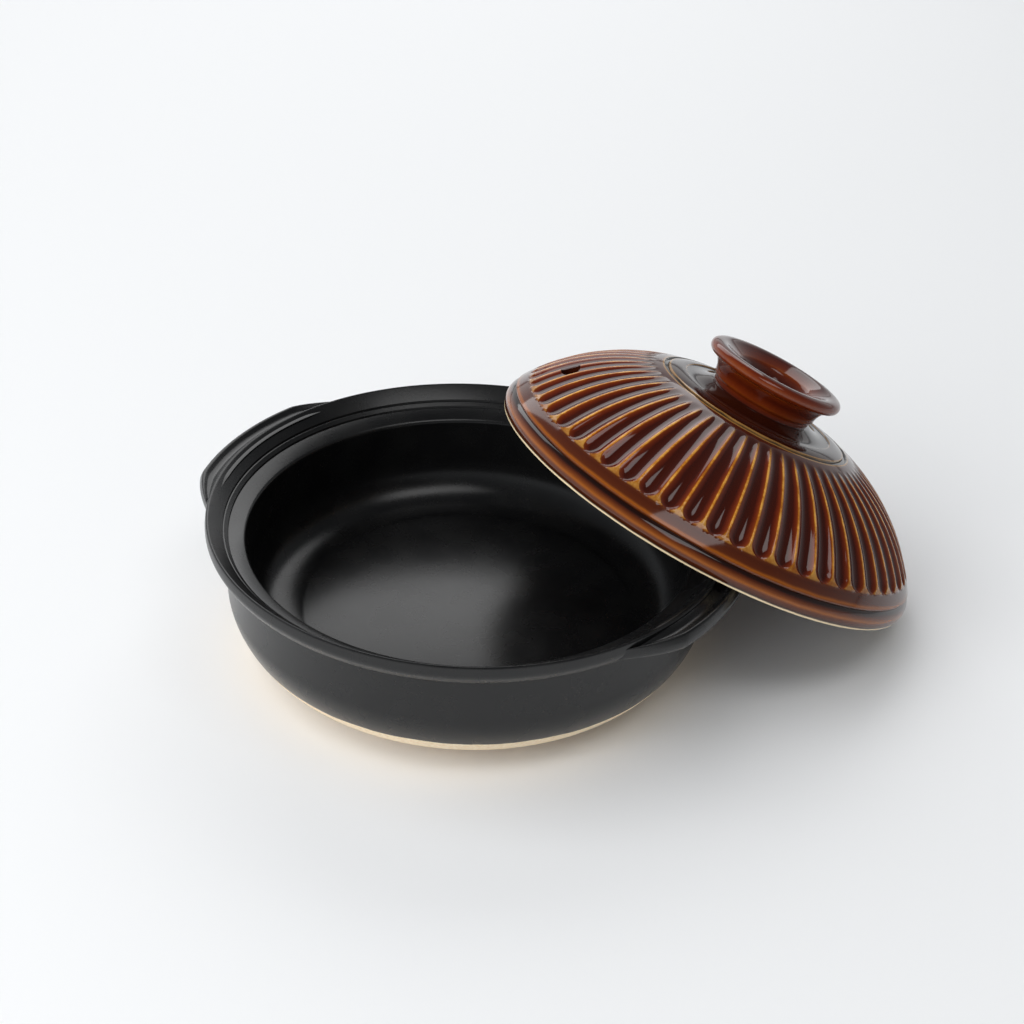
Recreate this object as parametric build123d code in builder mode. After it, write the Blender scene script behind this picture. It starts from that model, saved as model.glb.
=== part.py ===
from build123d import *
from math import cos, degrees, hypot, pi, radians, sin
import os

# Donabe: a shallow clay cooking pot with two ear lugs and a fluted, domed lid.
# Millimetres. The origin is the centre of the foot on the table, +Z is up and +X passes
# through the right lug. The lid lies where the photograph shows it: tipped off the pot, its
# low edge on the table and its ring resting on the back of the rim and on the right lug.

# Pot: rim with the gallery that the closed lid sits in
mouth_radius = 104.0
lip_height = 58.7
gallery_width = 7.4
gallery_rise = 3.9
step_width = 2.2
step_rise = 2.0
crown_width = 8.4
crown_rise = 7.4
rim_swell = 0.7
rim_swell_drop = 5.8
rim_depth = 10.2
rim_tuck = 2.5
rim_underside_rise = 2.6
lip_round = 1.4
crown_round = 1.5

# Pot: wall, belly and floor
wall_thickness = 9.5
belly_height = 36.0
base_radius = 97.0
foot_height = 7.5
floor_thickness = 9.5
floor_radius = 78.0
foot_ring_radius = 82.0
foot_ring_width = 9.0

# Pot: ear lugs
lug_overhang = 10.1
lug_ridge_inset = 3.0
lug_ridge_drop = 2.0
lug_dish_depth = 2.4
lug_seam_drop = 1.8
lug_thickness = 9.0
lug_outer_drop = 4.6
lug_half_span_degrees = 17.0
lug_blend_span_degrees = 14.5
lug_blend_share = 0.3
lug_round = 1.3
lug_tip_round = 14.0
lug_root_depth = 6.0

# Lid: brim
lid_play = 1.1
lid_edge_width = 6.2
brim_height = 8.2
brim_bulge = 0.8
brim_lean = 0.6
groove_depth = 0.9
shoulder_height = 10.6
shoulder_lean = 1.8

# Lid: dome
dome_mid_radius = 84.5
dome_mid_height = 36.1
crown_ring_radius = 50.4
crown_ring_height = 52.9
dome_thickness = 6.4
inner_ring_radius = 39.4
inner_ring_height = 55.4
inner_ring_step = 0.7
knob_seat_radius = 26.6
knob_seat_height = 57.6

# Lid: flutes, counted on the photograph. Each section of them has its share of the dome's
# meridian and the share of a flute's width that it is deep. The first and last end under the
# skin, and the bed is what the flutes run out onto at both ends.
flute_count = 56
flute_first_degrees = 2.35
flute_ridge_width = 1.3
flute_facet_count = 3
flute_shares = [0.04, 0.2, 0.46, 0.73, 0.995]
flute_depth_shares = [0.19, 0.19, 0.175, 0.145, 0.1]
flute_tuck = 0.8
flute_bed_depth = 3.0
flute_bed_shares = [0.085, 0.15, 0.86, 0.985]

# Lid: knob, a hollow ring that also serves as the foot of the upturned lid. Heights are
# counted from its seat on the dome.
knob_neck_radius = 25.4
knob_ledge_radius = 27.0
knob_ledge_height = 3.8
knob_waist_radius = 29.2
knob_waist_height = 9.6
knob_lip_radius = 34.0
knob_lip_height = 12.6
knob_reach = 35.0
knob_reach_height = 15.3
knob_shoulder_radius = 33.6
knob_shoulder_height = 17.4
knob_crest_radius = 30.6
knob_height = 18.1
knob_bevel_radius = 26.6
knob_bevel_height = 17.2
knob_bowl_radius = 19.2
knob_bowl_edge_height = 14.0
knob_bowl_wall_radius = 16.6
knob_bowl_wall_height = 8.0
knob_bowl_floor_radius = 9.0
knob_bowl_floor_height = 3.0

# Lid: steam hole
steam_hole_radius = 4.7
steam_hole_share = 0.378
steam_hole_degrees = 153.85

# How the lid rests: where its low edge is on the table, which way is downhill, and how
# closely it comes to the table, the rim and the lug
lid_stand_off = 99.1
lid_stand_degrees = 51.2
lid_downhill_degrees = 52.28
rest_gap = 0.3
rest_step_degrees = 0.1
steepest_degrees = 89.0
tilt_halving_count = 30

# Cones that each rounded wall is made of, so that its facets stay few, and the cutters' overrun
belly_chord_count = 3
round_chord_count = 2
overrun = 20.0


def polar(radius, angle):
    """A point at this radius and angle, in degrees."""
    return (radius * cos(radians(angle)), radius * sin(radians(angle)))


def toward(start, end, distance):
    """The point at this distance from the start, on the way to the end."""
    length = hypot(end[0] - start[0], end[1] - start[1])
    return tuple(a + (b - a) * distance / length for a, b in zip(start, end))


def chorded(count, *points, tangent=None):
    """Points that cut the arc through these points into even chords."""
    with BuildLine() as path:
        if tangent:
            TangentArc(*points, tangent=tangent)
        else:
            ThreePointArc(*points)
    steps = [path.line @ (step / count) for step in range(count + 1)]
    return [(step.X, step.Y) for step in steps]


def eased(before, corner, after, size):
    """A corner of an outline that is cut off over this length of both its sides."""
    return [toward(corner, before, size), toward(corner, after, size)]


def rounded(before, corner, after, size):
    """The same, but rounded off."""
    start, end = eased(before, corner, after, size)
    return chorded(round_chord_count, start, end, tangent=(corner[0] - start[0], corner[1] - start[1]))


# Rim corners, as radius and height, that follow from the driving sizes
lip = (mouth_radius, lip_height)
gallery = (lip[0] + gallery_width, lip[1] + gallery_rise)
step = (gallery[0] + step_width, gallery[1] + step_rise)
crown = (step[0] + crown_width, step[1] + crown_rise)
swell = (crown[0] + rim_swell, crown[1] - rim_swell_drop)
rim_low = (swell[0] - rim_tuck, crown[1] - rim_depth)
wall_top = (mouth_radius + wall_thickness, rim_low[1] - rim_underside_rise)
belly = (wall_top[0], belly_height)
base = (base_radius, foot_height)
inner_belly = (belly[0] - wall_thickness, belly_height)
floor_edge = (floor_radius, foot_height + floor_thickness)

crown_rounding = rounded(swell, crown, step, crown_round)
belly_curve = chorded(belly_chord_count, belly, base, tangent=(0, -1))
inner_belly_curve = chorded(belly_chord_count, inner_belly, floor_edge, tangent=(0, -1))

# Bowl: base, belly, wall and stepped rim, turned about the pot's axis
with BuildPart() as pot_bowl:
    with BuildSketch(Plane.XZ):
        with BuildLine():
            Polyline(
                (0, foot_height),
                *reversed(belly_curve),
                wall_top,
                rim_low,
                swell,
                *crown_rounding,
                step,
                gallery,
                *eased(gallery, lip, inner_belly, lip_round),
                *inner_belly_curve,
                (0, floor_edge[1]),
                close=True,
            )
        make_face()
    revolve(axis=Axis.Z)
pot_bowl.part.label = "pot_bowl"

# Foot ring: the bare ring under the base that the pot stands on
with BuildPart() as foot_ring:
    Cylinder(foot_ring_radius, foot_height, align=(Align.CENTER, Align.CENTER, Align.MIN))
    Cylinder(
        foot_ring_radius - foot_ring_width,
        foot_height,
        align=(Align.CENTER, Align.CENTER, Align.MIN),
        mode=Mode.SUBTRACT,
    )
foot_ring.part.label = "foot_ring"

# Lug corners, as radius and height, and the angles of its plan
lug_reach = swell[0] + lug_overhang
lug_ridge = (lug_reach - lug_ridge_inset, crown[1] - lug_ridge_drop)
lug_edge = (lug_reach, lug_ridge[1] - lug_outer_drop)
lug_low = (lug_ridge[0], lug_ridge[1] - lug_thickness)
lug_seam = (crown[0], crown[1] - lug_seam_drop)
lug_dish = ((lug_seam[0] + lug_ridge[0]) / 2, lug_ridge[1] - lug_dish_depth)
lug_root = (crown[0] - lug_root_depth, swell[1])
lug_rounding = rounded(lug_edge, lug_ridge, lug_dish, lug_round)
lug_end_degrees = lug_half_span_degrees + lug_blend_span_degrees
lug_blend_degrees = lug_half_span_degrees + lug_blend_span_degrees / 2
lug_blend_radius = crown[0] + (lug_reach - crown[0]) * lug_blend_share

# Lug blank: the crescent seen from above, with hollow flanks that run into the rim
with BuildPart() as lug_blank:
    with BuildSketch(Plane.XZ):
        with BuildLine():
            Polyline(
                lug_root,
                (lug_root[0], rim_low[1]),
                rim_low,
                *eased(rim_low, lug_low, lug_edge, lug_round),
                lug_edge,
                *lug_rounding,
                lug_dish,
                lug_seam,
                close=True,
            )
        make_face()
    revolve(axis=Axis.Z)
    with BuildSketch(Plane.XY.offset(rim_low[1] - overrun)) as lug_plan:
        with BuildLine():
            near_end = polar(crown[0], lug_end_degrees)
            near_tip = polar(lug_reach, lug_half_span_degrees)
            far_end = polar(crown[0], -lug_end_degrees)
            far_tip = polar(lug_reach, -lug_half_span_degrees)
            ThreePointArc(near_tip, (lug_reach, 0), far_tip)
            ThreePointArc(far_tip, polar(lug_blend_radius, -lug_blend_degrees), far_end)
            Polyline(
                far_end,
                polar(lug_root[0], -lug_end_degrees),
                (lug_root[0] - lug_root_depth, 0),
                polar(lug_root[0], lug_end_degrees),
                near_end,
            )
            ThreePointArc(near_end, polar(lug_blend_radius, lug_blend_degrees), near_tip)
        make_face()
        for tip in (near_tip, far_tip):
            fillet(lug_plan.vertices().sort_by_distance(tip)[0], lug_tip_round)
    extrude(amount=lug_ridge[1] - rim_low[1] + 2 * overrun, mode=Mode.INTERSECT)


def make_lug(name, turn_degrees):
    """A lug at this turn about the pot's axis, hollowed to fit the rim that it is luted to."""
    with BuildPart() as lug:
        with PolarLocations(0, 1, start_angle=turn_degrees):
            add(lug_blank.part)
        add(pot_bowl.part, mode=Mode.SUBTRACT)
    lug.part.label = name
    return lug.part


right_lug = make_lug("right_lug", 0)
left_lug = make_lug("left_lug", 180)

# Lid ring: the flat, bare edge of the lid, which fits the gallery with some play
lid_edge_radius = gallery[0] - lid_play
lid_inner_radius = lid_edge_radius - lid_edge_width
downhill = polar(1, lid_downhill_degrees)
stand = polar(swell[0] + lid_stand_off, lid_stand_degrees)


def lid_origin(tilt):
    """The centre of the lid's ring when it leans this much, in degrees."""
    reach = lid_edge_radius * cos(radians(tilt))
    height = lid_edge_radius * sin(radians(tilt)) + rest_gap
    return (stand[0] - downhill[0] * reach, stand[1] - downhill[1] * reach, height)


def ring_gap(tilt):
    """The least gap from the leaning ring to the pot's rounded crown and lug ridges."""
    origin = lid_origin(tilt)
    uphill, level = sin(radians(tilt)), cos(radians(tilt))
    gaps = []
    for radius, height, angle in rest_circle_points:
        x, y = polar(radius, angle)
        x, y, z = x - origin[0], y - origin[1], height - origin[2]
        along = x * downhill[0] + y * downhill[1]
        above = along * uphill + z * level
        inward = hypot(along * level - z * uphill, y * downhill[0] - x * downhill[1])
        aside = max(lid_inner_radius - inward, inward - lid_edge_radius, 0)
        gaps.append(hypot(aside, max(-above, 0)))
    return min(gaps)


# Points of the crown's and the lug ridges' rounded edges, on which the lid's ring comes to rest
rest_angles = [rest_step_degrees * count for count in range(int(360 / rest_step_degrees))]
rest_circle_points = [
    (radius, height, angle) for radius, height in crown_rounding for angle in rest_angles
] + [
    (radius, height, angle)
    for radius, height in lug_rounding
    for angle in rest_angles
    if min(angle % 180, 180 - angle % 180) < lug_end_degrees
]

# The least lean at which the ring clears the rim, found by halving
low_tilt, high_tilt = 0, steepest_degrees
for halving in range(tilt_halving_count):
    middle_tilt = (low_tilt + high_tilt) / 2
    if ring_gap(middle_tilt) < rest_gap:
        low_tilt = middle_tilt
    else:
        high_tilt = middle_tilt
lid_tilt = radians(high_tilt)

# Planes of the leaning lid: its bottom ring, and the section through its axis and downhill
lid_plane = Plane(
    origin=lid_origin(high_tilt),
    x_dir=(cos(lid_tilt) * downhill[0], cos(lid_tilt) * downhill[1], -sin(lid_tilt)),
    z_dir=(sin(lid_tilt) * downhill[0], sin(lid_tilt) * downhill[1], cos(lid_tilt)),
)
lid_section = Plane(
    origin=lid_plane.origin, x_dir=lid_plane.x_dir, z_dir=lid_plane.y_dir.reverse()
)
lid_axis = Axis(lid_plane.origin, lid_plane.z_dir)

# Dome corners, as radius and height over the ring, that follow from the driving sizes
edge = (lid_edge_radius, 0)
brim_mid = (lid_edge_radius + brim_bulge, brim_height / 2)
brim = (lid_edge_radius - brim_lean, brim_height)
shoulder = (brim[0] - shoulder_lean / 2, shoulder_height)
groove = ((brim[0] + shoulder[0]) / 2 - groove_depth, (brim[1] + shoulder[1]) / 2)
crown_ring = (crown_ring_radius, crown_ring_height)
inner_ring = (inner_ring_radius, inner_ring_height)
collar = (inner_ring[0] - inner_ring_step, inner_ring[1] - inner_ring_step)
knob_seat = (knob_seat_radius, knob_seat_height)
ceiling = (knob_seat_radius, knob_seat_height - dome_thickness)

# The meridian that the flutes follow
with BuildLine() as meridian:
    ThreePointArc(shoulder, (dome_mid_radius, dome_mid_height), crown_ring)
dome_curve = meridian.line


def outward(share):
    """The outward direction of the dome's section at this share of its meridian."""
    along = dome_curve % share
    return (along.Y, -along.X)


def on_dome(share, depth=0):
    """The point of the section at this share of the meridian, this deep under the skin."""
    point, out = dome_curve @ share, outward(share)
    return (point.X - out[0] * depth, point.Y - out[1] * depth)


def flute_ring(share, depth_share, tuck):
    """The scalloped outline of the dome in the level plane at this share of its meridian."""
    steepness = outward(share)[0]
    radius = on_dome(share)[0] - tuck / steepness
    width = 2 * pi * radius / flute_count - flute_ridge_width
    depth = width * depth_share / steepness
    outline = []
    for flute in range(flute_count):
        for facet in range(flute_facet_count + 1):
            off_share = 2 * facet / flute_facet_count - 1
            turn = degrees(off_share * width / (2 * radius))
            hollow = depth * (1 - off_share * off_share)
            outline.append(polar(radius - hollow, 360 * flute / flute_count + turn))
    return outline


# Scallops: the fluted skin of the dome as a ruled loft through its level sections
with BuildPart() as scallops:
    for share, depth_share in zip(flute_shares, flute_depth_shares):
        tuck = flute_tuck if share in (flute_shares[0], flute_shares[-1]) else 0
        with BuildSketch(Plane.XY.offset(on_dome(share)[1])):
            with BuildLine():
                Polyline(*flute_ring(share, depth_share, tuck), close=True)
            make_face()
    loft(ruled=True)

# Steam drill: the round tool of the hole poked square through the dome
hole_radius, hole_height = on_dome(steam_hole_share)
hole_out = outward(steam_hole_share)
with BuildPart(
    Plane(
        origin=(hole_radius, 0, hole_height), x_dir=(0, 1, 0), z_dir=(hole_out[0], 0, hole_out[1])
    )
) as steam_drill:
    Cylinder(steam_hole_radius, 2 * overrun)

# Dome: brim, banded shoulder, fluted shell and the collar round the knob
with BuildPart(lid_plane) as lid_dome:
    with BuildSketch(lid_section):
        with BuildLine():
            low_share, low_bed_share, high_bed_share, high_share = flute_bed_shares
            Polyline(
                (0, 0),
                *chorded(round_chord_count, edge, brim_mid, brim),
                groove,
                shoulder,
                on_dome(low_share),
                on_dome(low_bed_share, flute_bed_depth),
                on_dome(high_bed_share, flute_bed_depth),
                on_dome(high_share),
                crown_ring,
                inner_ring,
                *chorded(round_chord_count, collar, knob_seat, tangent=(-1, 0)),
                (0, knob_seat[1]),
                close=True,
            )
        make_face()
    revolve(axis=lid_axis)
    with PolarLocations(0, 1, start_angle=flute_first_degrees):
        add(scallops.part)
    with BuildSketch(lid_section):
        with BuildLine():
            Polyline(
                (0, 0),
                (lid_inner_radius, 0),
                *chorded(
                    belly_chord_count, (lid_inner_radius, brim[1]), on_dome(1 / 2, dome_thickness), ceiling
                ),
                (0, ceiling[1]),
                close=True,
            )
        make_face()
    revolve(axis=lid_axis, mode=Mode.SUBTRACT)
    with PolarLocations(0, 1, start_angle=steam_hole_degrees):
        add(steam_drill.part, mode=Mode.SUBTRACT)
lid_dome.part.label = "lid_dome"

# Knob corners, as radius and height over its seat
knob_ledge = (knob_ledge_radius, knob_ledge_height)
knob_waist = (knob_waist_radius, knob_waist_height)
knob_lip = (knob_lip_radius, knob_lip_height)
knob_edge = (knob_reach, knob_reach_height)
knob_shoulder = (knob_shoulder_radius, knob_shoulder_height)
knob_crest = (knob_crest_radius, knob_height)
knob_bevel = (knob_bevel_radius, knob_bevel_height)
bowl_edge = (knob_bowl_radius, knob_bowl_edge_height)
bowl_wall = (knob_bowl_wall_radius, knob_bowl_wall_height)
bowl_floor = (knob_bowl_floor_radius, knob_bowl_floor_height)
knob_outline = [
    (0, 0),
    (knob_neck_radius, 0),
    *chorded(round_chord_count, knob_ledge, knob_waist, knob_lip),
    *chorded(round_chord_count, knob_lip, knob_edge, knob_shoulder)[1:],
    *chorded(round_chord_count, knob_shoulder, knob_crest, knob_bevel)[1:],
    *chorded(round_chord_count, bowl_edge, bowl_wall, bowl_floor),
    (0, knob_bowl_floor_height),
]

# Knob: neck, flared wall, rolled lip and the bowl inside it
with BuildPart(lid_plane) as lid_knob:
    with BuildSketch(lid_section):
        with BuildLine():
            seated = [(radius, knob_seat[1] + height) for radius, height in knob_outline]
            Polyline(*seated, close=True)
        make_face()
    revolve(axis=lid_axis)
lid_knob.part.label = "lid_knob"

os.makedirs("parts", exist_ok=True)
export_step(pot_bowl.part, "parts/pot_bowl.step")
export_step(foot_ring.part, "parts/foot_ring.step")
export_step(right_lug, "parts/right_lug.step")
export_step(left_lug, "parts/left_lug.step")
export_step(lid_dome.part, "parts/lid_dome.step")
export_step(lid_knob.part, "parts/lid_knob.step")
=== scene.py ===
import bpy
import bmesh
from itertools import accumulate
from math import atan2, ceil, cos, hypot, pi, radians, sin, sqrt
from mathutils import Matrix, Vector


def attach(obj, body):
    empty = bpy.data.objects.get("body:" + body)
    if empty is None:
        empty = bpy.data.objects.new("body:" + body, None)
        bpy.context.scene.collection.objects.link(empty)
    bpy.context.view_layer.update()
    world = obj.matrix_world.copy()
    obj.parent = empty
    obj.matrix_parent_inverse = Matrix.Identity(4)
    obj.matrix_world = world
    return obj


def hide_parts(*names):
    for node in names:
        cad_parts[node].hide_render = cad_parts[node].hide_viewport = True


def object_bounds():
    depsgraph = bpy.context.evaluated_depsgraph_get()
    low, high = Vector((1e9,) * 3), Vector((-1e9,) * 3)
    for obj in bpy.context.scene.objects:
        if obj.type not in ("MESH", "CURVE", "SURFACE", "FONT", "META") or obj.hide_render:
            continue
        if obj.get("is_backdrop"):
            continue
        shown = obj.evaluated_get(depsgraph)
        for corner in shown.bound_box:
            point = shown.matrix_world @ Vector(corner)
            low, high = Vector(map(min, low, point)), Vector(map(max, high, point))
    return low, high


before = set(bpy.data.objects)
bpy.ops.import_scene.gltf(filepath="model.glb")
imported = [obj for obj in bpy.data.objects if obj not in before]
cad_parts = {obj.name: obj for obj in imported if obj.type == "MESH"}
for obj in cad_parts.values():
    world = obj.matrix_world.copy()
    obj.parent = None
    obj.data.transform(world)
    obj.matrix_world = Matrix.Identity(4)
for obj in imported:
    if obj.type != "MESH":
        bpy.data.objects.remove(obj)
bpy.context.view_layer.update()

# A donabe, a clay cooking pot, with its fluted lid leaning on it. Outlines, sections and pattern
# sizes are in millimetres; places of the camera and the lights are in metres, as Blender's are.
MM = 0.001

# An outline that closes on the axis ends this far from it, and merging closes the rest
POLE = 0.01
MERGE_DISTANCE = 0.02

# How near a point is to a place or a surface that it counts as lying on it
TOUCHING = 0.01

# The leaning lid, as the solids have it: how far and which way it leans, and its ring's centre
LID_TILT = radians(27.105)
LID_DOWNHILL = radians(52.28)
LID_CENTRE = Vector((78.910, 95.191, 50.555)) * MM
LID_TURN = Matrix.Rotation(LID_DOWNHILL, 4, "Z") @ Matrix.Rotation(LID_TILT, 4, "Y")
LID_PLACE = Matrix.Translation(LID_CENTRE) @ LID_TURN


def linear(colour):
    """An sRGB hex colour as the linear colour that a shader socket takes."""
    channels = [int(colour[i : i + 2], 16) / 255 for i in (1, 3, 5)]
    return [c / 12.92 if c <= 0.04045 else ((c + 0.055) / 1.055) ** 2.4 for c in channels] + [1]


# Camera: at the photograph's angle, a little rolled as the photograph is
CAMERA_PLACE = Vector((0.3328, -0.6247, 0.5189))
CAMERA_AZIMUTH = radians(26.5)
CAMERA_PITCH = radians(32.381)
CAMERA_ROLL = radians(2.880)

level = Vector((-sin(CAMERA_AZIMUTH), cos(CAMERA_AZIMUTH), 0))
forward = level * cos(CAMERA_PITCH) - Vector((0, 0, sin(CAMERA_PITCH)))
level_right = Vector((cos(CAMERA_AZIMUTH), sin(CAMERA_AZIMUTH), 0))
level_up = level_right.cross(forward)
right = level_right * cos(CAMERA_ROLL) + level_up * sin(CAMERA_ROLL)
up = level_up * cos(CAMERA_ROLL) - level_right * sin(CAMERA_ROLL)
camera_data = bpy.data.cameras.new("camera")
camera_data.lens = 63.28
camera_data.sensor_width = 36
camera = bpy.data.objects.new("camera", camera_data)
bpy.context.scene.collection.objects.link(camera)
camera_turn = Matrix((right, up, -forward)).transposed()
camera.matrix_world = Matrix.Translation(CAMERA_PLACE) @ camera_turn.to_4x4()
bpy.context.scene.camera = camera
bpy.context.scene.view_settings.view_transform = "Standard"


def pick(piece):
    """Select this piece alone and make it the active one."""
    bpy.ops.object.select_all(action="DESELECT")
    piece.select_set(True)
    bpy.context.view_layer.objects.active = piece


def arc(start, middle, end, count):
    """Even stations along the arc through three points, and the arc's centre and radius."""
    (ax, ay), (bx, by), (cx, cy) = start, middle, end
    twice = 2 * (ax * (by - cy) + bx * (cy - ay) + cx * (ay - by))
    first, second, third = ax * ax + ay * ay, bx * bx + by * by, cx * cx + cy * cy
    x = (first * (by - cy) + second * (cy - ay) + third * (ay - by)) / twice
    y = (first * (cx - bx) + second * (ax - cx) + third * (bx - ax)) / twice
    radius = hypot(ax - x, ay - y)
    begin = atan2(ay - y, ax - x)
    sweep = (atan2(cy - y, cx - x) - begin + pi) % (2 * pi) - pi
    stations = [begin + sweep * step / count for step in range(count + 1)]
    return [(x + radius * cos(a), y + radius * sin(a), 0) for a in stations], (x, y), radius


def round_off(piece, radius, height, rounding):
    """Round off the corner that runs round the piece at this radius and height, in edit mode."""
    bpy.ops.mesh.select_all(action="DESELECT")
    shape = bmesh.from_edit_mesh(piece.data)
    for edge in shape.edges:
        ends = [(hypot(end.co.x, end.co.y) / MM, end.co.z / MM) for end in edge.verts]
        if all(hypot(end[0] - radius, end[1] - height) < TOUCHING for end in ends):
            edge.select_set(True)
    shape.select_flush(True)
    bmesh.update_edit_mesh(piece.data)
    bpy.ops.mesh.bevel(offset=rounding * MM, segments=3 + ceil(rounding), affect="EDGES")


def turned(name, outline, columns, span=2 * pi, middle=0.0):
    """A turned wall: a ring, or a part of one, drawn out from corner to corner of its outline.

    Each corner has a radius, a height and how far it is rounded off.
    """
    bpy.ops.object.select_all(action="DESELECT")
    radius, height = outline[0][:2]
    bpy.ops.mesh.primitive_circle_add(vertices=round(columns * 2 * pi / span), radius=radius * MM)
    piece = bpy.context.object
    piece.name = name
    for vertex in piece.data.vertices:
        angle = middle - span / 2 + span * vertex.index / columns
        vertex.co = (radius * MM * cos(angle), radius * MM * sin(angle), height * MM)
    bpy.ops.object.mode_set(mode="EDIT")
    if span < 2 * pi:
        shape = bmesh.from_edit_mesh(piece.data)
        spare = [vertex for vertex in shape.verts if vertex.index > columns]
        bmesh.ops.delete(shape, geom=spare, context="VERTS")
        bmesh.update_edit_mesh(piece.data)
    bpy.ops.mesh.select_all(action="SELECT")
    for next_radius, next_height, _ in outline[1:]:
        rise = (0, 0, (next_height - height) * MM)
        share = next_radius / radius
        bpy.ops.mesh.extrude_edges_move(TRANSFORM_OT_translate={"value": rise})
        bpy.ops.transform.resize(value=(share, share, 1), center_override=(0, 0, 0))
        radius, height = next_radius, next_height
    for radius, height, rounding in outline:
        if rounding:
            round_off(piece, radius, height, rounding)
    bpy.ops.object.mode_set(mode="OBJECT")
    return piece


def close_up(piece, smooth_degrees):
    """Merge what meets, close the poles, turn the faces outward and smooth the wall."""
    pick(piece)
    bpy.ops.object.mode_set(mode="EDIT")
    bpy.ops.mesh.select_all(action="SELECT")
    bpy.ops.mesh.remove_doubles(threshold=MERGE_DISTANCE * MM)
    bpy.ops.mesh.normals_make_consistent(inside=False)
    bpy.ops.object.mode_set(mode="OBJECT")
    bpy.ops.object.shade_smooth_by_angle(angle=radians(smooth_degrees))


def seat(piece, place):
    """Move a piece that was made upright at the origin to its place, which goes into its mesh."""
    pick(piece)
    piece.matrix_world = place
    bpy.ops.object.transform_apply(location=True, rotation=True, scale=True)


def stand_for(piece, node, body, material):
    """The piece replaces its CAD node, rides with it and takes its finish."""
    piece.data.materials.clear()
    piece.data.materials.append(material)
    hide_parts(node)
    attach(piece, body)


def glaze_marks(piece):
    """Two marks on each vertex, which the amber glaze reads.

    The first says how thick the glaze has pooled there, and the second how far the pool sets
    the colour, in place of the bands round the brim and the crown.
    """
    for mark in ("pool", "flute"):
        piece.data.attributes.new(mark, "FLOAT", "POINT")
    return piece.data.attributes["pool"].data, piece.data.attributes["flute"].data


def add_node(tree, kind, inputs=(), output=0, stops=(), **settings):
    """Add a node; each input is a value or another node's output. Gives the node's output."""
    node = tree.nodes.new(kind)
    for name, value in settings.items():
        setattr(node, name, value)
    for name, value in dict(inputs).items():
        if isinstance(value, bpy.types.NodeSocket):
            tree.links.new(value, node.inputs[name])
        else:
            node.inputs[name].default_value = value
    for number, (place, colour) in enumerate(stops):
        elements = node.color_ramp.elements
        element = elements[number] if number < len(elements) else elements.new(1)
        element.position, element.color = place, linear(colour)
    return node.outputs[output]


def new_material(name):
    """A new node material, its node tree and its shader, ready for what is put on it."""
    material = bpy.data.materials.new(name)
    material.use_nodes = True
    return material, material.node_tree, material.node_tree.nodes["Principled BSDF"]


def spots(size):
    """The scale of a noise whose spots are this many millimetres across."""
    return 1 / (size * MM)


# Stoneware glaze, black and satin: dipped thick and fired, so its colour is even and its shine
# soft, with faint orange peel. It stops short of the foot in a wavy line, where the cream clay
# shows. The clay shows only outside a line that lies in the pot's wall and leans with its belly,
# so that the inside is glazed all over.
CLOUD_SIZE = 18.2
PEEL_SIZE = 1.43
PEEL_DEPTH = 0.3
DIP_HEIGHT = 18.5
DIP_WANDER = 2.5
WALL_LINE_FOOT = 94.5
WALL_LINE_LEAN = 0.2
UNDERSIDE_HEIGHT = 8.0
SATIN_ROUGHNESS = 0.22
SATIN_SPREAD = 0.10
BARE_ROUGHER = 0.5

black_glaze, tree, shader = new_material("black satin glaze on stoneware")
place = add_node(tree, "ShaderNodeTexCoord", output="Object")
height = add_node(tree, "ShaderNodeSeparateXYZ", {"Vector": place}, "Z")
flat = add_node(tree, "ShaderNodeVectorMath", {0: place, 1: (1, 1, 0)}, operation="MULTIPLY")
radius = add_node(tree, "ShaderNodeVectorMath", {0: flat}, "Value", operation="LENGTH")
clouds = add_node(
    tree, "ShaderNodeTexNoise", {"Vector": place, "Scale": spots(CLOUD_SIZE), "Detail": 4.0}
)
peel = add_node(
    tree, "ShaderNodeTexNoise", {"Vector": place, "Scale": spots(PEEL_SIZE), "Detail": 2.0}
)
dip_line = add_node(
    tree,
    "ShaderNodeMath",
    {0: clouds, 1: DIP_WANDER * MM, 2: DIP_HEIGHT * MM},
    operation="MULTIPLY_ADD",
)
wall_line = add_node(
    tree,
    "ShaderNodeMath",
    {0: height, 1: WALL_LINE_LEAN, 2: WALL_LINE_FOOT * MM},
    operation="MULTIPLY_ADD",
)
low = add_node(tree, "ShaderNodeMath", {0: height, 1: dip_line}, operation="LESS_THAN")
outside = add_node(tree, "ShaderNodeMath", {0: radius, 1: wall_line}, operation="GREATER_THAN")
low_outside = add_node(tree, "ShaderNodeMath", {0: low, 1: outside}, operation="MULTIPLY")
under = add_node(
    tree, "ShaderNodeMath", {0: height, 1: UNDERSIDE_HEIGHT * MM}, operation="LESS_THAN"
)
bare = add_node(tree, "ShaderNodeMath", {0: low_outside, 1: under}, operation="MAXIMUM")
glaze_colour = add_node(
    tree, "ShaderNodeValToRGB", {"Fac": clouds}, stops=[(0.3, "#0b0b0c"), (0.7, "#131313")]
)
clay_colour = add_node(
    tree, "ShaderNodeValToRGB", {"Fac": peel}, stops=[(0.3, "#f0d8b4"), (0.7, "#fbebd0")]
)
skin = add_node(
    tree, "ShaderNodeMix", {0: bare, 6: glaze_colour, 7: clay_colour}, 2, data_type="RGBA"
)
satin = add_node(
    tree,
    "ShaderNodeMath",
    {0: clouds, 1: SATIN_SPREAD, 2: SATIN_ROUGHNESS},
    operation="MULTIPLY_ADD",
)
rough = add_node(
    tree, "ShaderNodeMath", {0: bare, 1: BARE_ROUGHER, 2: satin}, operation="MULTIPLY_ADD"
)
ripple = add_node(
    tree, "ShaderNodeBump", {"Height": peel, "Strength": 0.08, "Distance": PEEL_DEPTH * MM}
)
tree.links.new(skin, shader.inputs["Base Color"])
tree.links.new(rough, shader.inputs["Roughness"])
tree.links.new(ripple, shader.inputs["Normal"])
shader.inputs["IOR"].default_value = 1.5

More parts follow.
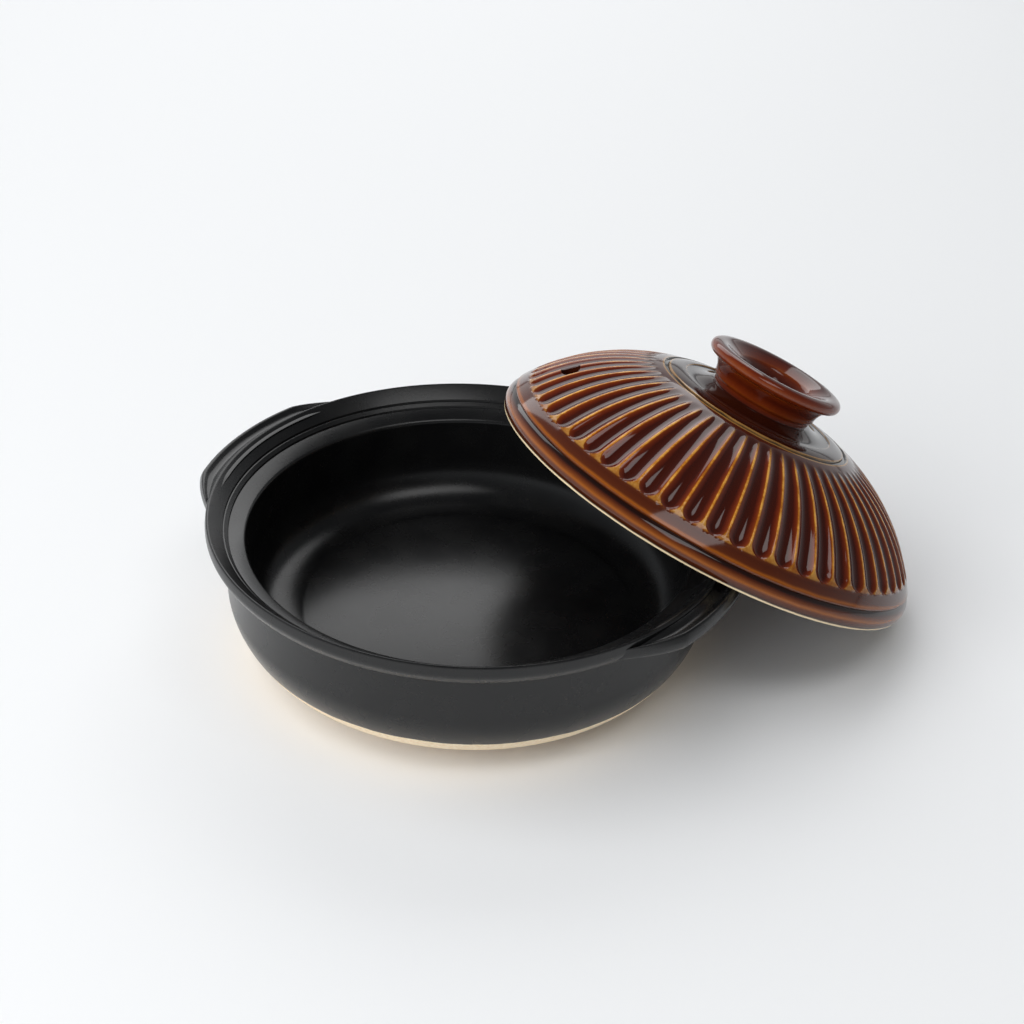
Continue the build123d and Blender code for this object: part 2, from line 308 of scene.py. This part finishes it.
# Bare stoneware: unglazed clay, fired cream and dry, so it has no shine and a fine grit. The real
# grit is about 0.3 mm, too fine for the picture, so it is drawn some four times as coarse.
GRIT_SIZE = 1.25
GRIT_DEPTH = 0.2

bare_clay, tree, shader = new_material("bare stoneware clay")
place = add_node(tree, "ShaderNodeTexCoord", output="Object")
grit = add_node(
    tree, "ShaderNodeTexNoise", {"Vector": place, "Scale": spots(GRIT_SIZE), "Detail": 4.0}
)
clay_colour = add_node(
    tree, "ShaderNodeValToRGB", {"Fac": grit}, stops=[(0.3, "#eab878"), (0.7, "#f6cc94")]
)
grain = add_node(
    tree, "ShaderNodeBump", {"Height": grit, "Strength": 0.4, "Distance": GRIT_DEPTH * MM}
)
tree.links.new(clay_colour, shader.inputs["Base Color"])
tree.links.new(grain, shader.inputs["Normal"])
shader.inputs["Roughness"].default_value = 0.85

# Amber glaze: iron-red, glassy and runny in the fire, so it breaks gold where it runs thin, on
# the ridges and edges, and pools dark red-brown to black in the flutes and grooves. Its colour
# follows bands up the brim and then in over the dome, counted in mm from the bare edge, which
# wander a little. In the flutes and on the knob it follows how thick the glaze has pooled. Its
# real specks are some 0.3 mm, and they are drawn coarser, so that they show.
STREAK_SIZE = 11.1
SPECK_SIZE = 1.11
BRIM_BAND_END = 17.0
DOME_BAND_START_RADIUS = 104.5
BAND_WANDER = 0.8
BAND_SPAN = 100.0
STREAK_SHARE = 0.3
SPECK_SHARE = 0.12
GLAZE_BANDS = [
    (0.0, "#e6d2ac"),
    (0.9, "#e6d2ac"),
    (1.2, "#2a1008"),
    (2.6, "#4a200c"),
    (4.0, "#5a280c"),
    (5.0, "#92500f"),
    (6.2, "#6c340c"),
    (7.6, "#42190a"),
    (8.4, "#180805"),
    (9.4, "#200a05"),
    (10.4, "#6a320d"),
    (11.2, "#945012"),
    (12.2, "#50210a"),
    (15.0, "#451a09"),
    (17.2, "#5c2a0d"),
    (19.5, "#3c160a"),
    (64.0, "#34120a"),
    (70.2, "#4a1e10"),
    (70.8, "#b98a4a"),
    (71.4, "#120605"),
    (73.4, "#0a0303"),
    (74.0, "#b98a4a"),
    (74.6, "#2c0f08"),
    (81.7, "#2a0e08"),
    (82.2, "#b98a4a"),
    (82.7, "#200a06"),
    (94.0, "#2c0f07"),
]
POOL_COLOURS = [
    (0.17, "#d8a04a"),
    (0.24, "#b06c1c"),
    (0.32, "#7c3a0e"),
    (0.50, "#66250a"),
    (0.85, "#4c1607"),
    (1.00, "#380f05"),
]

amber_glaze, tree, shader = new_material("amber glaze on stoneware")
place = add_node(tree, "ShaderNodeTexCoord", output="Object")
upright = add_node(
    tree,
    "ShaderNodeMapping",
    {"Vector": place, "Location": LID_CENTRE, "Rotation": LID_TURN.to_euler()},
    vector_type="TEXTURE",
)
height = add_node(tree, "ShaderNodeSeparateXYZ", {"Vector": upright}, "Z")
flat = add_node(tree, "ShaderNodeVectorMath", {0: upright, 1: (1, 1, 0)}, operation="MULTIPLY")
radius = add_node(tree, "ShaderNodeVectorMath", {0: flat}, "Value", operation="LENGTH")
streaks = add_node(
    tree, "ShaderNodeTexNoise", {"Vector": place, "Scale": spots(STREAK_SIZE), "Detail": 5.0}
)
specks = add_node(
    tree, "ShaderNodeTexNoise", {"Vector": place, "Scale": spots(SPECK_SIZE), "Detail": 2.0}
)
pool = add_node(tree, "ShaderNodeAttribute", output="Fac", attribute_name="pool")
flute = add_node(tree, "ShaderNodeAttribute", output="Fac", attribute_name="flute")
up_brim = add_node(
    tree, "ShaderNodeMath", {0: height, 1: BRIM_BAND_END * MM}, operation="MINIMUM"
)
inward = add_node(
    tree, "ShaderNodeMath", {0: DOME_BAND_START_RADIUS * MM, 1: radius}, operation="SUBTRACT"
)
over_dome = add_node(tree, "ShaderNodeMath", {0: inward, 1: 0.0}, operation="MAXIMUM")
along = add_node(tree, "ShaderNodeMath", {0: up_brim, 1: over_dome}, operation="ADD")
wandering = add_node(
    tree, "ShaderNodeMath", {0: streaks, 1: BAND_WANDER * MM, 2: along}, operation="MULTIPLY_ADD"
)
band = add_node(
    tree,
    "ShaderNodeMath",
    {0: wandering, 1: 1 / (BAND_SPAN * MM), 2: -BAND_WANDER / 2 / BAND_SPAN},
    operation="MULTIPLY_ADD",
)
banded = add_node(
    tree,
    "ShaderNodeValToRGB",
    {"Fac": band},
    stops=[(distance / BAND_SPAN, colour) for distance, colour in GLAZE_BANDS],
)
streaky = add_node(
    tree, "ShaderNodeMath", {0: streaks, 1: STREAK_SHARE, 2: pool}, operation="MULTIPLY_ADD"
)
thickness = add_node(
    tree, "ShaderNodeMath", {0: specks, 1: SPECK_SHARE, 2: streaky}, operation="MULTIPLY_ADD"
)
pooled = add_node(tree, "ShaderNodeValToRGB", {"Fac": thickness}, stops=POOL_COLOURS)
skin = add_node(tree, "ShaderNodeMix", {0: flute, 6: banded, 7: pooled}, 2, data_type="RGBA")
tree.links.new(skin, shader.inputs["Base Color"])
shader.inputs["Roughness"].default_value = 0.07
shader.inputs["IOR"].default_value = 1.5

# The pot's turned body. Its outline runs under the base, up the belly and the wall, over the
# stepped rim with its two fine throwing lines, and down the inside to the middle of the floor.
POT_COLUMNS = 256
BASE_HEIGHT = 7.5
FLOOR_HEIGHT = 17.0

pot_outline = [
    (POLE, BASE_HEIGHT, 0),
    (97.0, BASE_HEIGHT, 0),
    (113.5, 16.97, 18.9),
    (113.5, 59.2, 0.8),
    (120.2, 61.8, 0.9),
    (122.7, 66.2, 1.5),
    (122.0, 72.0, 1.8),
    (114.7, 65.5, 0),
    (114.4, 64.5, 0),
    (113.9, 64.4, 0),
    (112.3, 63.1, 0),
    (112.0, 62.2, 0),
    (111.4, 62.1, 0),
    (104.0, 58.7, 1.6),
    *arc((104.0, 36.0), (98.16, 21.9), (78.0, FLOOR_HEIGHT), 24)[0],
    (POLE, FLOOR_HEIGHT, 0),
]
pot_wall = turned("pot_wall", pot_outline, POT_COLUMNS)
close_up(pot_wall, 25)
stand_for(pot_wall, "pot_bowl", "pot", black_glaze)

# The lugs: one section is drawn round the rim. Either side of its full part, its reach and, less
# so, its height shrink towards the root in the rim, until it has run out.
LUG_COLUMNS = 64
LUG_FULL = radians(16.5)
LUG_END = radians(31.5)
LUG_ROOT_RADIUS = 120.6
LUG_ROOT_HEIGHT = 66.2
LUG_LEAST_SHARE = 0.02
LUG_SHOULDER_POWER = 1.2
LUG_TAIL_POWER = 1.1
LUG_HEIGHT_KEPT = 0.5
LUG_MERGE_DISTANCE = 0.002

lug_section = [
    (118.0, 62.2, 0),
    (120.4, 61.9, 0),
    (129.6, 61.2, 2.0),
    (132.8, 65.5, 2.2),
    (130.3, 71.4, 2.1),
    (126.2, 67.2, 2.6),
    (121.8, 70.3, 0),
    (118.0, 69.5, 0),
    (118.0, 62.2, 0),
]
for side, middle in (("right", 0.0), ("left", pi)):
    lug = turned(side + "_lug_grip", lug_section, LUG_COLUMNS, 2 * LUG_END, middle)
    for vertex in lug.data.vertices:
        radius, angle = hypot(vertex.co.x, vertex.co.y) / MM, atan2(vertex.co.y, vertex.co.x)
        off_middle = abs((angle - middle + pi) % (2 * pi) - pi)
        past_full = min(1.0, max(0.0, (off_middle - LUG_FULL) / (LUG_END - LUG_FULL)))
        share = max(LUG_LEAST_SHARE, 1 - past_full**LUG_SHOULDER_POWER) ** LUG_TAIL_POWER
        height_share = LUG_HEIGHT_KEPT + (1 - LUG_HEIGHT_KEPT) * share
        reach = LUG_ROOT_RADIUS + (radius - LUG_ROOT_RADIUS) * share
        height = LUG_ROOT_HEIGHT + (vertex.co.z / MM - LUG_ROOT_HEIGHT) * height_share
        vertex.co = Vector((reach * cos(angle), reach * sin(angle), height)) * MM
    bpy.ops.object.mode_set(mode="EDIT")
    bpy.ops.mesh.select_all(action="SELECT")
    bpy.ops.mesh.remove_doubles(threshold=LUG_MERGE_DISTANCE * MM)
    bpy.ops.mesh.select_all(action="DESELECT")
    bpy.ops.mesh.select_non_manifold()
    bpy.ops.mesh.edge_face_add()
    bpy.ops.object.mode_set(mode="OBJECT")
    close_up(lug, 60)
    stand_for(lug, side + "_lug", "pot", black_glaze)

# The dome's wall, an arc between the shoulder over the brim and the ring round the crown. Its
# stations are close where the flutes start, wide along them and closer where they run out.
SHOULDER = (108.8, 10.6)
DOME_MID = (84.5, 36.1)
CROWN_RING = (50.4, 52.9)
DOME_STEPS = [0.0] + [0.75] * 20 + [2.0] * 24 + [1.0] * 10

dome_centre, dome_radius = arc(SHOULDER, DOME_MID, CROWN_RING, 1)[1:]
dome_start = atan2(SHOULDER[1] - dome_centre[1], SHOULDER[0] - dome_centre[0])


def on_dome(along):
    """The radius, height and angle of the place this far up the dome's wall from the shoulder."""
    angle = dome_start + along / dome_radius
    radius = dome_centre[0] + dome_radius * cos(angle)
    height = dome_centre[1] + dome_radius * sin(angle)
    return radius, height, angle


# The flutes, which a round gouge cut into the dome, with narrow ridges between them. A flute has
# a round head near the brim, is deeper where it is wider, and runs out at the crown. Places
# along it are lengths up the dome's wall from the shoulder. Its head's length is a share of
# half its width, and its depth is a share of its width. Towards both ends its own colours give
# way to the bands: on the ridges over their first few mm, and all across where it runs out.
FLUTES = 56
FLUTE_PITCH = 2 * pi / FLUTES
FLUTE_COLUMNS = 12
FIRST_FLUTE = radians(2.35)
FLUTE_START = 7.0
FLUTE_END = 69.5
FLUTE_RUN_OUT = 12
FLUTE_HEAD_SHARE = 1.1
LEAST_DEPTH_SHARE = 0.09
FULL_DEPTH_SHARE = 0.20
FULL_DEPTH_RADIUS = 104.5
RIDGE_WIDTH = 0.75
RIDGE_START_SHARE = 0.35
RIDGE_START_LENGTH = 7
CROWN_FADE = 1.5


def gouge(sector):
    """Cut one flute into a sector of the dome, and mark how the glaze pools in it."""
    pool, flute = glaze_marks(sector)
    for vertex in sector.data.vertices:
        radius, height = hypot(vertex.co.x, vertex.co.y) / MM, vertex.co.z / MM
        out = Vector((radius - dome_centre[0], height - dome_centre[1]))
        along = (atan2(out.y, out.x) - dome_start) * dome_radius
        if abs(out.length - dome_radius) > TOUCHING or not FLUTE_START < along < FLUTE_END:
            continue
        turn = atan2(vertex.co.y, vertex.co.x) - FIRST_FLUTE
        column = round(turn / FLUTE_PITCH * FLUTE_COLUMNS)
        across = max(-1.0, min(1.0, column / (FLUTE_COLUMNS / 2 - 1)))
        half_width = pi * radius / FLUTES - RIDGE_WIDTH / 2
        past_start = min(1.0, (along - FLUTE_START) / (FLUTE_HEAD_SHARE * half_width))
        before_end = min(1.0, (FLUTE_END - along) / FLUTE_RUN_OUT)
        head = sqrt(1 - (1 - past_start) ** 2)
        hollow = (1 - across * across) * head
        deeper = (FULL_DEPTH_SHARE - LEAST_DEPTH_SHARE) * min(1.0, radius / FULL_DEPTH_RADIUS)
        depth = 2 * half_width * (LEAST_DEPTH_SHARE + deeper) * hollow * sin(before_end * pi / 2)
        if abs(column) < FLUTE_COLUMNS / 2:
            turn = across * half_width * head / radius
        inward = out.normalized() * depth
        radius, height = radius - inward.x, height - inward.y
        angle = FIRST_FLUTE + turn
        vertex.co = Vector((radius * cos(angle), radius * sin(angle), height)) * MM
        pool[vertex.index].value = hollow
        flute[vertex.index].value = min(1.0, before_end * CROWN_FADE)
        if abs(column) >= FLUTE_COLUMNS / 2 - 1:
            set_in = min(1.0, (along - FLUTE_START) / RIDGE_START_LENGTH)
            flute[vertex.index].value *= RIDGE_START_SHARE + (1 - RIDGE_START_SHARE) * set_in


# The steam hole: its radius, how far up the dome's wall and how far round the lid it lies, and
# the length of what drills it
HOLE_RADIUS = 4.7
HOLE_ALONG = 27.82
HOLE_ROUND = radians(153.85)
DRILL_LENGTH = 24


def drill_steam_hole(lid):
    """Drill the round steam hole square through the dome."""
    radius, height, angle = on_dome(HOLE_ALONG)
    bpy.ops.object.select_all(action="DESELECT")
    bpy.ops.mesh.primitive_cylinder_add(
        vertices=64,
        radius=HOLE_RADIUS * MM,
        depth=DRILL_LENGTH * MM,
        location=(radius * MM, 0, height * MM),
        rotation=(0, pi / 2 - angle, 0),
    )
    drill = bpy.context.object
    bpy.ops.object.transform_apply(location=True, rotation=True, scale=True)
    seat(drill, Matrix.Rotation(HOLE_ROUND, 4, "Z"))
    pick(lid)
    drilled = lid.modifiers.new("steam hole", "BOOLEAN")
    drilled.operation, drilled.solver, drilled.object = "DIFFERENCE", "MANIFOLD", drill
    bpy.ops.object.modifier_apply(modifier=drilled.name)
    bpy.data.objects.remove(drill)


# The lid: one flute's width of its wall is drawn out, gouged and copied round. Its outline runs
# from the crown's middle down the inside to the bare edge, up the brim with its groove, over the
# dome, and past the crown's two rings to the knob's seat.
KNOB_SEAT = 57.6
UNDER_CROWN = 51.2
SKIRT_TOP = 8.2

lid_outline = [
    (POLE, UNDER_CROWN, 0),
    *reversed(arc((104.1, SKIRT_TOP), (79.4, 32.2), (26.6, UNDER_CROWN), 12)[0]),
    (104.1, 0.0, 0.8),
    (110.3, 0.0, 0.5),
    *arc((110.3, 0.9), (111.1, 4.1), (109.7, 8.2), 8)[0],
    (109.2, 8.9, 0),
    (108.4, 9.4, 0),
    (108.7, 10.0, 0),
    *[(*on_dome(along)[:2], 0) for along in accumulate(DOME_STEPS)],
    (50.1, 52.95, 0),
    (49.7, 52.2, 0),
    (48.1, 52.5, 0),
    (47.8, 53.4, 0),
    (47.3, 53.6, 0),
    (39.7, 55.3, 0),
    (39.2, 55.2, 0),
    *arc((38.8, 54.75), (31.5, 55.6), (26.6, KNOB_SEAT), 10)[0],
    (POLE, KNOB_SEAT, 0),
]
lid_shell = turned("lid_shell", lid_outline, FLUTE_COLUMNS, FLUTE_PITCH, FIRST_FLUTE)
gouge(lid_shell)
bpy.ops.object.mode_set(mode="EDIT")
bpy.ops.mesh.select_all(action="SELECT")
bpy.ops.mesh.spin(
    steps=FLUTES - 1,
    dupli=True,
    angle=FLUTE_PITCH * (FLUTES - 1),
    center=(0, 0, 0),
    axis=(0, 0, 1),
)
bpy.ops.object.mode_set(mode="OBJECT")
close_up(lid_shell, 40)
drill_steam_hole(lid_shell)
seat(lid_shell, LID_PLACE)
stand_for(lid_shell, "lid_dome", "lid", amber_glaze)

# The knob, with heights over its seat: neck, flared wall, rolled lip and the bowl inside it. Its
# glaze is thin at the lip, at the bowl's edge, at the neck's ledge and under the flare.
KNOB_COLUMNS = 160
NECK_SUNK = -0.6
BOWL_FLOOR = 3.0
THIN_PLACES = ((34.9, 15.0), (20.0, 14.6), (27.0, 3.6), (31.5, 11.2))
THIN_POOL = 0.16
THICKER_POOL = 0.55
THICKER_AFTER = 5

knob_outline = [
    (POLE, NECK_SUNK, 0),
    (25.4, NECK_SUNK, 0),
    (25.6, 2.2, 0),
    (26.6, 3.2, 0),
    *arc((27.0, 3.8), (29.2, 9.6), (34.0, 12.6), 12)[0],
    *arc((34.0, 12.6), (35.0, 15.3), (33.6, 17.4), 8)[0][1:],
    *arc((33.6, 17.4), (30.6, 18.1), (26.6, 17.2), 8)[0][1:],
    (19.2, 14.0, 1.2),
    *arc((18.6, 12.2), (16.2, 7.4), (9.0, BOWL_FLOOR), 12)[0],
    (POLE, BOWL_FLOOR, 0),
]
seated = [(radius, KNOB_SEAT + height, rounding) for radius, height, rounding in knob_outline]
knob = turned("knob", seated, KNOB_COLUMNS)
close_up(knob, 40)
pool, flute = glaze_marks(knob)
for vertex in knob.data.vertices:
    radius, height = hypot(vertex.co.x, vertex.co.y) / MM, vertex.co.z / MM - KNOB_SEAT
    nearest = min(hypot(radius - thin[0], height - thin[1]) for thin in THIN_PLACES)
    pool[vertex.index].value = THIN_POOL + THICKER_POOL * min(1.0, nearest / THICKER_AFTER)
    flute[vertex.index].value = 1.0
seat(knob, LID_PLACE)
stand_for(knob, "lid_knob", "lid", amber_glaze)

# The foot ring stays as the solids have it
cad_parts["foot_ring"].material_slots[0].material = bare_clay

# Floor: plain white paper, pressed smooth and uncoated, so it is bright and hardly shines
floor_paper, tree, shader = new_material("white paper floor")
shader.inputs["Base Color"].default_value = linear("#f2f3f4")
shader.inputs["Roughness"].default_value = 0.9
shader.inputs["Specular IOR Level"].default_value = 0.1
bpy.ops.object.select_all(action="DESELECT")
bpy.ops.mesh.primitive_plane_add(size=12, location=(0, 0, 0))
floor = bpy.context.object
floor.name = "floor"
floor.data.materials.append(floor_paper)
floor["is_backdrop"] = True

# World: a white studio, darker towards its ceiling, and brighter on its left than on its right
BRIGHT_SIDE = (-0.9, -0.2, 0)
MEAN_GLOW = 0.72
SIDE_GLOW = 0.34

world = bpy.data.worlds.new("studio")
bpy.context.scene.world = world
world.use_nodes = True
tree = world.node_tree
direction = add_node(tree, "ShaderNodeTexCoord", output="Generated")
upward = add_node(tree, "ShaderNodeSeparateXYZ", {"Vector": direction}, "Z")
sky = add_node(
    tree,
    "ShaderNodeValToRGB",
    {"Fac": upward},
    stops=[(0.0, "#ffffff"), (0.25, "#cfd2d5"), (0.55, "#85888b"), (1.0, "#5c5e61")],
)
side = add_node(
    tree, "ShaderNodeVectorMath", {0: direction, 1: BRIGHT_SIDE}, "Value", operation="DOT_PRODUCT"
)
glow = add_node(tree, "ShaderNodeMath", {0: side, 1: SIDE_GLOW, 2: MEAN_GLOW}, operation="MULTIPLY_ADD")
tree.links.new(sky, tree.nodes["Background"].inputs["Color"])
tree.links.new(glow, tree.nodes["Background"].inputs["Strength"])


def softbox(name, place, target, width, height, power, reflected=True):
    """A soft rectangular light that points at a target, and may be left out of reflections."""
    data = bpy.data.lights.new(name, "AREA")
    data.shape = "RECTANGLE"
    data.size, data.size_y, data.energy = width, height, power
    light = bpy.data.objects.new(name, data)
    bpy.context.scene.collection.objects.link(light)
    light.location = place
    light.rotation_euler = (Vector(target) - Vector(place)).to_track_quat("-Z", "Y").to_euler()
    light.visible_glossy = reflected


# Lights: a large one behind on the left, whose reflection lies on the pot's floor and the lid, a
# smaller one over the right, and two broad ones that are left out of reflections
softbox("key_light", (-0.75, 1.45, 1.2), (0, 0, 0.05), 2.0, 1.2, 14)
softbox("fill_light", (0.8, -0.4, 1.9), (0.1, 0.1, 0.1), 1.2, 0.7, 6)
softbox("overhead_light", (-1.0, -0.9, 2.3), (-0.1, -0.2, 0), 2.6, 2.6, 42, reflected=False)
softbox("front_light", (-0.5, -1.7, 0.9), (0, 0, 0), 1.6, 1.0, 16, reflected=False)

# The box round every part that is rendered, without the floor
low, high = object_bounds()
